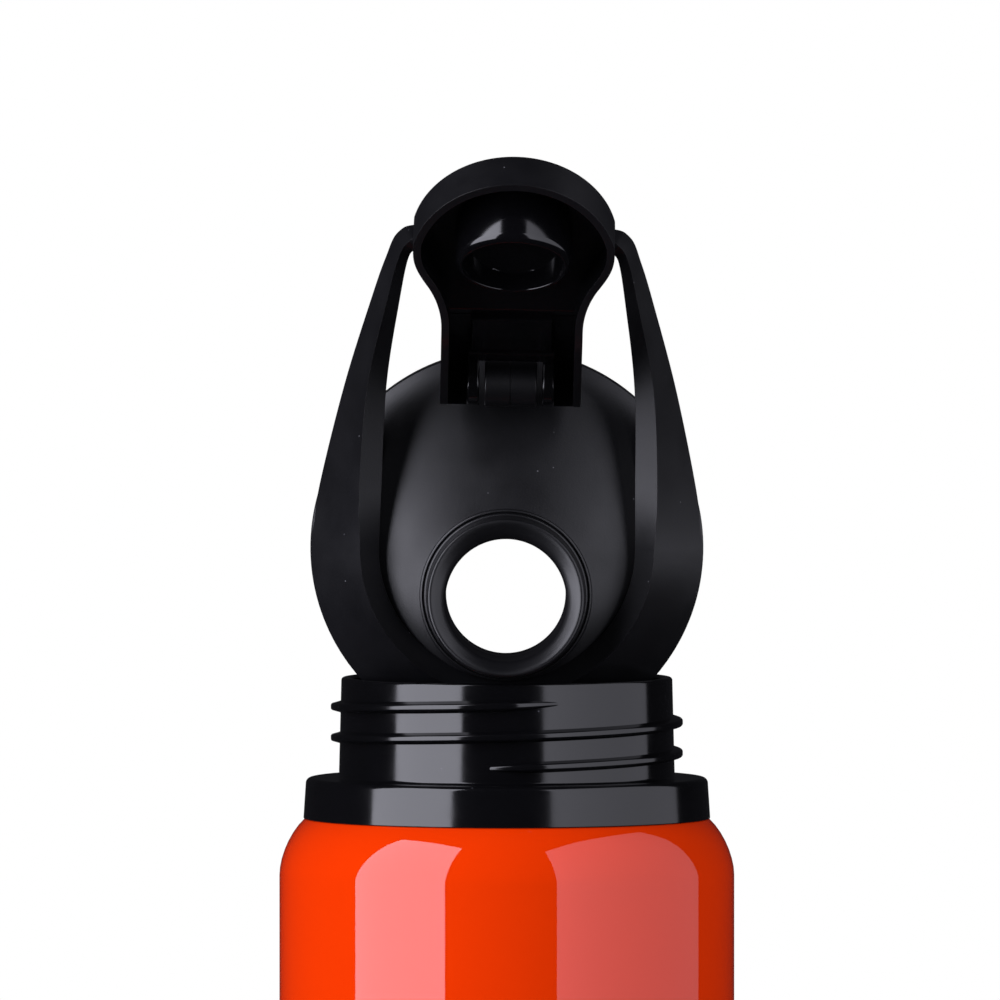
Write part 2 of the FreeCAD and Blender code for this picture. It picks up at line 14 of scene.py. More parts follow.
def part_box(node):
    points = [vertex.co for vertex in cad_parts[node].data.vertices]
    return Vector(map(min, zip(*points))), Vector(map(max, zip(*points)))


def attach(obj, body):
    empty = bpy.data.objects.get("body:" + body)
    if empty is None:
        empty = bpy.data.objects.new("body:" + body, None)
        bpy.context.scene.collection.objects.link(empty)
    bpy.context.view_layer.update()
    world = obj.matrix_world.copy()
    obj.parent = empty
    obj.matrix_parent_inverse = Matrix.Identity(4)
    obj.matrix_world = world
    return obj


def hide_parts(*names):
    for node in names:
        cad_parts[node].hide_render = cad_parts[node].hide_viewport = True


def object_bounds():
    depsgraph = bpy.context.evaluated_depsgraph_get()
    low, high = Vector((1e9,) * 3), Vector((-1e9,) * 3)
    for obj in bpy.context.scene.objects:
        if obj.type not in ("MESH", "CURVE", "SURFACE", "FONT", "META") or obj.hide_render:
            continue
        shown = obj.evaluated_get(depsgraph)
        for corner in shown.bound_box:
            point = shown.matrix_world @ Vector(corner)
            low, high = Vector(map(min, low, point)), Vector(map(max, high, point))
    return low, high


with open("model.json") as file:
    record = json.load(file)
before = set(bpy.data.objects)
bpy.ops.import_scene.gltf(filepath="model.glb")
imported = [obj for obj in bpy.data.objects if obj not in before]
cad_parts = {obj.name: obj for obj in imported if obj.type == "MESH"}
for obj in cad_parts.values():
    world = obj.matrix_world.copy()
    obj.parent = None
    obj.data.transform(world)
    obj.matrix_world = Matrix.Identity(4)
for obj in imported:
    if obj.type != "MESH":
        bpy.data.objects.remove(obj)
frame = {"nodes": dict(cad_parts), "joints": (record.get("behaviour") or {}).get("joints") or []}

logging.basicConfig(level=logging.INFO, format="%(name)s: %(message)s")
log = logging.getLogger("bottle")

MM = 0.001
FULL_TURN = 2 * math.pi
STEPS = 160
WELD = 0.002 * MM           # corners nearer than this are one
MIRROR_WELD = 0.01 * MM     # the same across the plane of symmetry
NEAR = 0.001 * MM           # how near a corner counts as on a cutting plane
PANEL_TINT = (0.97, 0.97, 1.1)
SURROUND_SEEN = (1.0, 1.0, 1.0, 1.0)
SURROUND_LIGHT = (0.06, 0.06, 0.065, 1.0)
SURROUND_MIRRORED = (0.012, 0.012, 0.014, 1.0)
CAD_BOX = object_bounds()


class Body(str, Enum):
    """The moving bodies that pieces ride on."""

    BOTTLE = "bottle"
    LID = "lid"
    CAP = "cap"


class Slot(str, Enum):
    """The record's material slots."""

    ENAMEL = "orange_enamel"
    COLLAR = "collar_plastic"
    LID = "lid_plastic"
    LINER = "liner_plastic"
    PLUG = "plug_plastic"
    SEAL = "seal_rubber"
    PIN = "pin_steel"


# --- where the lid stands -------------------------------------------------------------------------

HINGE = Vector((0.0, 26.5, 27.5)) * MM      # the cap's hinge, in the lid's own frame
OPEN_ANGLE = math.radians(119)


def lid_stand() -> Matrix:
    """Where the lid's own frame stands in the bottle's mouth.

    Returns:
        The matrix from the lid's frame to the row frame, read from the cap's hinge joint.
    """
    hinge = next(joint for joint in frame["joints"] if joint["name"] == "cap_hinge")
    roll = -math.atan2(hinge["axis"][2], hinge["axis"][0])
    return (
        Matrix.Translation(hinge["pos_m"]) @ Matrix.Rotation(roll, 4, "Y")
        @ Matrix.Rotation(math.radians(90), 4, "X") @ Matrix.Translation(-HINGE)
    )


LID_STAND = lid_stand()
CAP_STAND = (
    LID_STAND @ Matrix.Translation(HINGE) @ Matrix.Rotation(-OPEN_ANGLE, 4, "X") @ Matrix.Translation(-HINGE)
)


# --- finishes -------------------------------------------------------------------------------------

def linear(hex_colour: str) -> tuple[float, float, float, float]:
    """Turns an sRGB colour to the linear values that shaders take.

    Args:
        hex_colour: Six hex digits after a hash.

    Returns:
        Linear red, green, blue and an alpha of one.
    """
    parts = [int(hex_colour[at:at + 2], 16) / 255 for at in (1, 3, 5)]
    red, green, blue = [
        part / 12.92 if part <= 0.04045 else ((part + 0.055) / 1.055) ** 2.4 for part in parts
    ]
    return red, green, blue, 1.0


def add_node(
    tree: bpy.types.NodeTree, kind: str, inputs: dict[Any, Any] | None = None, **settings: Any
) -> bpy.types.Node:
    """Adds one node with its settings, values and links.

    Args:
        tree: The node tree.
        kind: The node's type.
        inputs: Values, or sockets to link from, by the input's name or number.
        settings: Properties of the node itself.

    Returns:
        The new node.
    """
    node = tree.nodes.new(kind)
    for name, value in settings.items():
        setattr(node, name, value)
    for name, value in (inputs or {}).items():
        if isinstance(value, bpy.types.NodeSocket):
            tree.links.new(value, node.inputs[name])
        else:
            node.inputs[name].default_value = value
    return node


def per_metre(millimetres: float) -> float:
    """Pattern scale whose features are this many millimetres apart."""
    return 1 / (millimetres * MM)


@dataclass(frozen=True)
class Finish:
    """A surface whose colour drifts a little, whose gloss is uneven and whose skin has a grain.

    The grain is drawn at grain_mm across and grain_depth_mm high; specks are dust lying on it.
    """

    name: str
    colour: str
    drift_colour: str
    roughness: float
    rough_drift: float
    grain_mm: float
    grain_depth_mm: float
    drift_mm: float = 30.0
    speck_colour: str = "#7a7a7e"
    speck_mm: float = 0.0
    coat: float = 0.0
    coat_roughness: float = 0.05
    metallic: float = 0.0
    ior: float | None = 1.5
    specular: float = 0.5
    stretch: tuple[float, float, float] = (1.0, 1.0, 1.0)

    def shader_values(self) -> dict[str, float]:
        """Values set on the shader's own sockets.

        Returns:
            Each value by its socket's name.
        """
        values = {
            "Metallic": self.metallic, "Coat Weight": self.coat, "Coat Roughness": self.coat_roughness,
            "Specular IOR Level": self.specular,
        }
        if self.ior is not None:
            values["IOR"] = self.ior
        return values

    def colour_source(self, tree: bpy.types.NodeTree, place: bpy.types.NodeSocket) -> bpy.types.NodeSocket:
        """Colour drifting slowly over the piece, with dust specks where it has them.

        Args:
            tree: The material's node tree.
            place: Object coordinates.

        Returns:
            The colour socket.
        """
        drift = add_node(
            tree, "ShaderNodeTexNoise", {"Vector": place, "Scale": per_metre(self.drift_mm), "Detail": 3.0}
        )
        colour = add_node(tree, "ShaderNodeValToRGB", {"Fac": drift.outputs["Fac"]})
        colour.color_ramp.elements[0].position = 0.35
        colour.color_ramp.elements[0].color = linear(self.colour)
        colour.color_ramp.elements[1].position = 0.7
        colour.color_ramp.elements[1].color = linear(self.drift_colour)
        if not self.speck_mm:
            return colour.outputs["Color"]
        cells = add_node(
            tree, "ShaderNodeTexVoronoi", {"Vector": place, "Scale": per_metre(self.speck_mm * 16)}
        )
        near = add_node(tree, "ShaderNodeMapRange", {
            "Value": cells.outputs["Distance"], "From Min": 0.02, "From Max": 0.055,
            "To Min": 1.0, "To Max": 0.0,
        })
        chosen = add_node(tree, "ShaderNodeSeparateColor", {"Color": cells.outputs["Color"]})
        rare = add_node(
            tree, "ShaderNodeMath", {0: chosen.outputs["Red"], 1: 0.8}, operation="GREATER_THAN"
        )
        speck = add_node(
            tree, "ShaderNodeMath", {0: near.outputs["Result"], 1: rare.outputs["Value"]},
            operation="MULTIPLY",
        )
        mixed = add_node(tree, "ShaderNodeMix", {
            0: speck.outputs["Value"], 6: colour.outputs["Color"], 7: linear(self.speck_colour),
        }, data_type="RGBA")
        return mixed.outputs[2]

    def build(self) -> bpy.types.Material:
        """Makes the material, once.

        Returns:
            The node-based material under the finish's name.
        """
        if self.name in bpy.data.materials:
            return bpy.data.materials[self.name]
        material = bpy.data.materials.new(self.name)
        material.use_nodes = True
        tree = material.node_tree
        shader = tree.nodes["Principled BSDF"]
        for name, value in self.shader_values().items():
            shader.inputs[name].default_value = value
        coordinates = add_node(tree, "ShaderNodeTexCoord")
        mapping = add_node(
            tree, "ShaderNodeMapping", {"Vector": coordinates.outputs["Object"], "Scale": self.stretch}
        )
        place = mapping.outputs["Vector"]
        tree.links.new(self.colour_source(tree, place), shader.inputs["Base Color"])
        patches = add_node(
            tree, "ShaderNodeTexNoise",
            {"Vector": place, "Scale": per_metre(self.drift_mm / 4), "Detail": 4.0},
        )
        gloss = add_node(tree, "ShaderNodeMapRange", {
            "Value": patches.outputs["Fac"], "From Min": 0.3, "From Max": 0.7,
            "To Min": self.roughness - self.rough_drift, "To Max": self.roughness + self.rough_drift,
        })
        tree.links.new(gloss.outputs["Result"], shader.inputs["Roughness"])
        grain = add_node(
            tree, "ShaderNodeTexNoise", {"Vector": place, "Scale": per_metre(self.grain_mm), "Detail": 2.0}
        )
        bump = add_node(
            tree, "ShaderNodeBump",
            {"Height": grain.outputs["Fac"], "Distance": self.grain_depth_mm * MM, "Strength": 1.0},
        )
        tree.links.new(bump.outputs["Normal"], shader.inputs["Normal"])
        return material


# Enamelled aluminium: baked gloss paint, so a deep even orange under a hard clear shine whose
# reflections waver slightly from orange peel.
ENAMEL = Finish(
    "baked_orange_enamel", "#de3401", "#da3101", roughness=0.4, rough_drift=0.04, grain_mm=2.2,
    grain_depth_mm=0.0012, drift_mm=45.0, coat=1.0, coat_roughness=0.02, specular=0.0,
)
# Lacquered aluminium inside the can: a dull warm-grey metal.
LACQUER = Finish(
    "lacquered_aluminium", "#a8a6a0", "#98958d", roughness=0.38, rough_drift=0.06, grain_mm=0.6,
    grain_depth_mm=0.002, metallic=1.0, ior=None, stretch=(1.0, 1.0, 0.08),
)
# Polished-mould polypropylene: near-black with a soft clean gloss.
COLLAR = Finish(
    "gloss_polypropylene", "#070708", "#09090b", roughness=0.12, rough_drift=0.03, grain_mm=0.9,
    grain_depth_mm=0.0012, speck_mm=0.16, speck_colour="#5a5a60",
)
# Spark-eroded mould grain on polypropylene: a fine matte black that greys where light rakes it.
# The true grain is near 0.05 mm; it is drawn at 0.28 mm so that it shows.
GRAINED = Finish(
    "grained_polypropylene", "#09090b", "#0c0c0f", roughness=0.38, rough_drift=0.04, grain_mm=0.28,
    grain_depth_mm=0.012, speck_mm=0.16,
)
# The same mould's polished faces, inside the flip cap: wet-looking black.
POLISHED = Finish(
    "polished_polypropylene", "#050506", "#070709", roughness=0.18, rough_drift=0.04, grain_mm=1.4,
    grain_depth_mm=0.002, speck_mm=0.16,
)
# Soft plug compound, low-density polyethylene: black with a slick waxy shine.
PLUG = Finish(
    "waxy_polyethylene", "#060607", "#08080a", roughness=0.12, rough_drift=0.03, grain_mm=1.1,
    grain_depth_mm=0.0015,
)
# Satin polypropylene of the inner cup: black with a broad soft sheen.
LINER = Finish(
    "satin_polypropylene", "#101013", "#141417", roughness=0.34, rough_drift=0.05, grain_mm=0.5,
    grain_depth_mm=0.004,
)
# Silicone rubber seals: milky grey, matte, faintly waxy.
SILICONE = Finish(
    "silicone_rubber", "#c4c5c6", "#b6b8ba", roughness=0.6, rough_drift=0.05, grain_mm=0.7,
    grain_depth_mm=0.004, ior=1.41,
)
# Drawn stainless steel rod: bright, with fine lines along it.
STEEL = Finish(
    "drawn_stainless_steel", "#b9b7b2", "#a9a7a3", roughness=0.26, rough_drift=0.08, grain_mm=0.3,
    grain_depth_mm=0.003, drift_mm=6.0, metallic=1.0, ior=None, stretch=(0.06, 1.0, 1.0),
)


# --- mesh work shared by the pieces ---------------------------------------------------------------

Corner = tuple[float, float, float]      # radius or across, height, rounding, in millimetres


def whole(mesh: bmesh.types.BMesh) -> list[Any]:
    """All of a mesh's corners, edges and faces."""
    return mesh.verts[:] + mesh.edges[:] + mesh.faces[:]


def verts_in(made: Sequence[Any]) -> list[bmesh.types.BMVert]:
    """The corners among what an operator made."""
    return [item for item in made if isinstance(item, bmesh.types.BMVert)]


def disc(radius: float, slope: float = 0.0) -> Matrix:
    """Scales the unit circle to a radius, longer along Y where it lies in a slope."""
    return Matrix.Diagonal((radius * MM, radius / math.cos(slope) * MM, MM, 1))


def turned(profile: Sequence[Corner], steps: int = STEPS) -> bmesh.types.BMesh:
    """Spins a closed profile about Z.

    Args:
        profile: Corners as (radius, height, rounding radius), in millimetres.
        steps: How many faces go round.

    Returns:
        A new mesh of the turned solid.
    """
    mesh = bmesh.new()
    verts = [mesh.verts.new((radius * MM, 0, height * MM)) for radius, height, _ in profile]
    for start, end in zip(verts, verts[1:] + verts[:1]):
        mesh.edges.new((start, end))
    for vert, (_, _, rounding) in zip(verts, profile):
        if rounding:
            round_corner(mesh, vert, rounding)
    bmesh.ops.spin(
        mesh, geom=mesh.verts[:] + mesh.edges[:], cent=(0, 0, 0), axis=(0, 0, 1), angle=FULL_TURN,
        steps=steps, use_merge=True,
    )
    return mesh


def round_corner(mesh: bmesh.types.BMesh, vert: bmesh.types.BMVert, radius: float) -> None:
    """Rounds a profile's corner to an arc.

    Args:
        mesh: The mesh with the wire profile.
        vert: The corner, with two edges.
        radius: The arc's radius in millimetres.
    """
    one, two = [(edge.other_vert(vert).co - vert.co).normalized() for edge in vert.link_edges]
    turn = math.pi - one.angle(two)
    bmesh.ops.bevel(
        mesh, geom=[vert], offset=radius * MM * math.tan(turn / 2), offset_type="OFFSET",
        segments=max(3, round(math.degrees(turn) / 7)), profile=0.5, affect="VERTICES", material=-1,
    )


def follow_rings(
    mesh: bmesh.types.BMesh, stations: Sequence[Matrix], closed: bool, steps: int = STEPS
) -> None:
    """Draws a unit circle from station to station.

    Args:
        mesh: The mesh that takes the surface.
        stations: Each turns the unit circle to that station's ring.
        closed: Whether the last ring joins the first.
        steps: How many faces go round.
    """
    first = bmesh.ops.create_circle(mesh, segments=steps, radius=1.0, matrix=stations[0])["verts"]
    edges = list({edge for vert in first for edge in vert.link_edges})
    path = list(stations) + ([stations[0]] if closed else [])
    ends = [edges]
    for before, after in zip(path, path[1:]):
        made = bmesh.ops.extrude_edge_only(mesh, edges=edges)["geom"]
        fresh = set(verts_in(made))
        bmesh.ops.transform(mesh, matrix=after @ before.inverted(), verts=list(fresh))
        edges = [
            edge for edge in {edge for vert in fresh for edge in vert.link_edges}
            if edge.verts[0] in fresh and edge.verts[1] in fresh
        ]
    ends.append(edges)
    if not closed:
        for end in ends:
            bmesh.ops.contextual_create(mesh, geom=end)


def follow_sections(
    mesh: bmesh.types.BMesh, sections: Sequence[Sequence[Vector]], capped: bool = False
) -> None:
    """Draws a closed section from station to station, corner by corner.

    Args:
        mesh: The mesh that takes the surface.
        sections: Each station's corners in order, in metres.
        capped: Whether both ends are closed with a face.
    """
    verts = [mesh.verts.new(point) for point in sections[0]]
    edges = [mesh.edges.new(pair) for pair in zip(verts, verts[1:] + verts[:1])]
    if capped:
        bmesh.ops.contextual_create(mesh, geom=edges)
    for section in sections[1:]:
        made = bmesh.ops.extrude_edge_only(mesh, edges=edges)["geom"]
        fresh = set(verts_in(made))
        verts = [
            next(edge.other_vert(vert) for edge in vert.link_edges if edge.other_vert(vert) in fresh)
            for vert in verts
        ]
        for vert, point in zip(verts, section):
            vert.co = point
        edges = [
            edge for edge in {edge for vert in verts for edge in vert.link_edges}
            if edge.verts[0] in fresh and edge.verts[1] in fresh
        ]
    if capped:
        bmesh.ops.contextual_create(mesh, geom=edges)


def smooth_between(stations: Sequence[Sequence[float]], steps: int) -> list[list[float]]:
    """Fills in stations along a smooth curve through the given ones.

    Args:
        stations: Rows of numbers.
        steps: Rows from one given row to the next.

    Returns:
        All the rows, the given ones among them.
    """
    rows = [stations[0], *stations, stations[-1]]
    filled = []
    for before, start, end, after in zip(rows, rows[1:], rows[2:], rows[3:]):
        for step in range(steps):
            t = step / steps
            filled.append([
                0.5 * (
                    2 * b + (c - a) * t + (2 * a - 5 * b + 4 * c - d) * t * t
                    + (3 * b - a - 3 * c + d) * t ** 3
                )
                for a, b, c, d in zip(before, start, end, after)
            ])
    filled.append(list(stations[-1]))
    return filled


def soften(
    mesh: bmesh.types.BMesh, width: float, turn: float = 25.0, segments: int = 3,
    chosen: Callable[[bmesh.types.BMEdge], bool] = lambda edge: True,
) -> None:
    """Rounds the edges that turn sharply.

    Args:
        mesh: The mesh.
        width: How far back from the edge the rounding starts, in millimetres.
        turn: Edges that turn less than this many degrees are left.
        segments: Faces across the rounding.
        chosen: Picks which of the sharp edges are rounded.
    """
    edges = [
        edge for edge in mesh.edges
        if edge.is_manifold and edge.calc_face_angle(0.0) > math.radians(turn) and chosen(edge)
    ]
    bmesh.ops.bevel(
        mesh, geom=edges, offset=width * MM, offset_type="OFFSET", segments=segments, profile=0.5,
        affect="EDGES", clamp_overlap=True, material=-1,
    )


def add_thread(
    mesh: bmesh.types.BMesh, radius: float, low: float, start: float, depth: float,
    pitch: float = 4.96, rise: float = 10.4, root: float = 2.0, crest: float = 1.0,
) -> None:
    """Adds a screw thread's ridge, running out into the wall at both ends.

    Args:
        mesh: The mesh that takes it.
        radius: The wall's radius in millimetres.
        low: Height of the ridge's lower end.
        start: Its angle about Z in degrees.
        depth: How far the ridge stands out, or in where negative.
        pitch: Rise in one turn.
        rise: Rise of the whole ridge.
        root: The ridge's width at the wall.
        crest: Its width at the top.
    """
    sunk = radius - math.copysign(0.3, depth)
    top = radius + depth
    known = set(mesh.verts)
    section = [(sunk, -root / 2), (top, -crest / 2), (top, crest / 2), (sunk, root / 2)]
    verts = [mesh.verts.new((across * MM, 0, up * MM)) for across, up in section]
    for pair in zip(verts, verts[1:] + verts[:1]):
        mesh.edges.new(pair)
    for vert in verts[1:3]:
        round_corner(mesh, vert, 0.4)
    wire = [vert for vert in mesh.verts if vert not in known]
    total = FULL_TURN * rise / pitch
    steps = round(STEPS * rise / pitch)
    bmesh.ops.spin(
        mesh, geom=wire + list({edge for vert in wire for edge in vert.link_edges}), cent=(0, 0, 0),
        axis=(0, 0, 1), dvec=(0, 0, rise * MM / steps), angle=total, steps=steps,
    )
    ridge = [vert for vert in mesh.verts if vert not in known]
    fade = math.radians(24)
    for vert in ridge:
        angle = math.atan2(vert.co.y, vert.co.x) % FULL_TURN
        lap = round((vert.co.z / MM / pitch) - angle / FULL_TURN)
        along = angle + lap * FULL_TURN
        share = min(max(min(along, total - along) / fade, 0.0), 1.0)
        share = share * share * (3 - 2 * share)
        centre = along / FULL_TURN * pitch * MM
        reach = math.hypot(vert.co.x, vert.co.y)
        reduced = (sunk * MM + (reach - sunk * MM) * share) / reach
        vert.co.x *= reduced
        vert.co.y *= reduced
        vert.co.z = centre + (vert.co.z - centre) * (0.35 + 0.65 * share)
    open_ends = [edge for vert in ridge for edge in vert.link_edges if edge.is_boundary]
    bmesh.ops.holes_fill(mesh, edges=list(set(open_ends)), sides=0)
    bmesh.ops.rotate(mesh, verts=ridge, cent=(0, 0, 0), matrix=Matrix.Rotation(math.radians(start), 3, "Z"))
    bmesh.ops.translate(mesh, verts=ridge, vec=(0, 0, low * MM))


def settle(
    mesh: bmesh.types.BMesh, name: str, body: Body, finishes: Sequence[Finish],
    replaced: str | None, place: Matrix | None = None, sharp: float = 40.0,
) -> bpy.types.Object:
    """Turns a mesh into a finished piece that rides on its body.

    Args:
        mesh: The mesh, which is freed.
        name: The piece's name.
        body: The body that it rides on.
        finishes: Materials in the order of the faces' material numbers.
        replaced: The CAD node that it stands for.
        place: Where its own frame stands.
        sharp: Edges that turn more than this many degrees shade as sharp.

    Returns:
        The piece.
    """
    bmesh.ops.remove_doubles(mesh, verts=mesh.verts[:], dist=WELD)
    if place is not None:
        bmesh.ops.transform(mesh, matrix=place, verts=mesh.verts[:])
    bmesh.ops.recalc_face_normals(mesh, faces=mesh.faces[:])
    for face in mesh.faces:
        face.smooth = True
    data = bpy.data.meshes.new(name)
    mesh.to_mesh(data)
    mesh.free()
    data.set_sharp_from_angle(angle=math.radians(sharp))
    for finish in finishes:
        data.materials.append(finish.build())
    piece = bpy.data.objects.new(name, data)
    bpy.context.scene.collection.objects.link(piece)
    weighted = piece.modifiers.new("even_shading", "WEIGHTED_NORMAL")
    weighted.keep_sharp = True
    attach(piece, body.value)
    if replaced:
        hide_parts(replaced)
    log.info("%s: %d faces on %s", name, len(data.polygons), body.value)
    return piece


# --- bottle ---------------------------------------------------------------------------------------

@dataclass
class Flask:
    """The drawn can, its screwed collar and the seal between them."""

    radius: float = 36.5
    wall: float = 0.9
    foot: float = 29.5
    foot_round: float = 6.0
    hollow: float = 4.0
    shoulder: float = 195.0
    shoulder_round: float = 12.0
    shoulder_turn: float = 47.5
    collar_radius: float = 32.65
    collar_height: float = 6.8
    collar_draft: float = 0.8
    neck_radius: float = 26.95
    neck_draft: float = 0.4
    neck_height: float = 16.1
    bore: float = 25.0
    thread_start: float = -103.0
    thread_low: float = 13.6
    thread_depth: float = 1.35

    def build(self) -> None:
        """Makes the can, the collar and the dressed seal."""
        self.build_can()
        self.build_collar()
        dress_node("collar_seal", SILICONE)

    def build_can(self) -> None:
        """Spins the can: concave base, rolled foot, straight wall and round shoulder."""
        turn = math.radians(self.shoulder_turn)
        bend = self.shoulder_round * math.tan(turn / 2)
        arc_end = self.radius - self.shoulder_round * (1 - math.cos(turn))
        arc_start = self.shoulder - self.shoulder_round * math.sin(turn)
        corner = arc_start + bend
        mouth = 28.1
        inner_shift = self.wall * math.tan(turn / 2)
        mesh = turned([
            (0, self.hollow, 0),
            (self.foot * 0.55, self.hollow * 0.72, 30),
            (self.foot - 0.6, 0.2, 0.8),
            (self.radius - self.foot_round * 0.35, 0, 3.0),
            (self.radius, self.foot_round * 0.72, 5.0),
            (self.radius, corner, self.shoulder_round),
            (arc_end - 0.5, self.shoulder + 0.5 / math.tan(turn), 0),
            (mouth + self.wall, self.shoulder + 2.0, 0.8),
            (mouth + self.wall, self.shoulder + 3.2, 0),
            (mouth + 2.5, self.shoulder + 3.2, 0.3),
            (mouth + 2.5, self.shoulder + 4.4, 0.3),
            (mouth, self.shoulder + 4.4, 0.3),
            (mouth, self.shoulder + 1.4, 0.8),
            (arc_end - 0.5 - self.wall, self.shoulder - 0.3, 0),
            (self.radius - self.wall, corner - inner_shift, self.shoulder_round - self.wall),
            (self.radius - self.wall, self.foot_round, 0),
            (self.radius - self.foot_round * 0.6, self.wall, 2.0),
            (self.foot - 1.2, self.wall + 0.2, 0.8),
            (self.foot * 0.55, self.hollow * 0.72 + self.wall, 30),
            (0, self.hollow + self.wall, 0),
        ], steps=192)
        bmesh.ops.remove_doubles(mesh, verts=mesh.verts[:], dist=WELD)
        bmesh.ops.recalc_face_normals(mesh, faces=mesh.faces[:])
        for face in mesh.faces:
            centre = face.calc_center_median()
            outward = face.normal.x * centre.x + face.normal.y * centre.y
            floor = face.normal.z > 0.6 and centre.z < self.foot_round * MM
            face.material_index = int(outward < -1e-4 and centre.z > self.foot_round * MM or floor)
        settle(mesh, "aluminium_can", Body.BOTTLE, (ENAMEL, LACQUER), "bottle_body")

    def build_collar(self) -> None:
        """Spins the moulded collar and winds its thread."""
        top = self.shoulder + self.collar_height
        rim = top + self.neck_height
        lip = self.collar_radius - 1.25
        mesh = turned([
            (self.bore, self.shoulder - 1.5, 0.3),
            (self.neck_radius, self.shoulder - 1.5, 0.3),
            (self.neck_radius, top - 2.3, 0),
            (lip, top - 2.3, 0),
            (lip, self.shoulder + 1.5, 0),
            (self.collar_radius - 0.5, self.shoulder + 0.6, 0),
            (self.collar_radius, self.shoulder + 0.1, 0.12),
            (self.collar_radius - self.collar_draft * 0.55, top, 0.9),
            (self.neck_radius, top, 0.5),
            (self.neck_radius - self.neck_draft, rim, 0.5),
            (self.bore, rim, 0.5),
        ])
        add_thread(
            mesh, self.neck_radius - 0.15, rim - self.thread_low, self.thread_start, self.thread_depth + 0.1
        )
        settle(mesh, "threaded_collar", Body.BOTTLE, (COLLAR,), "neck_collar")


# --- lid ------------------------------------------------------------------------------------------

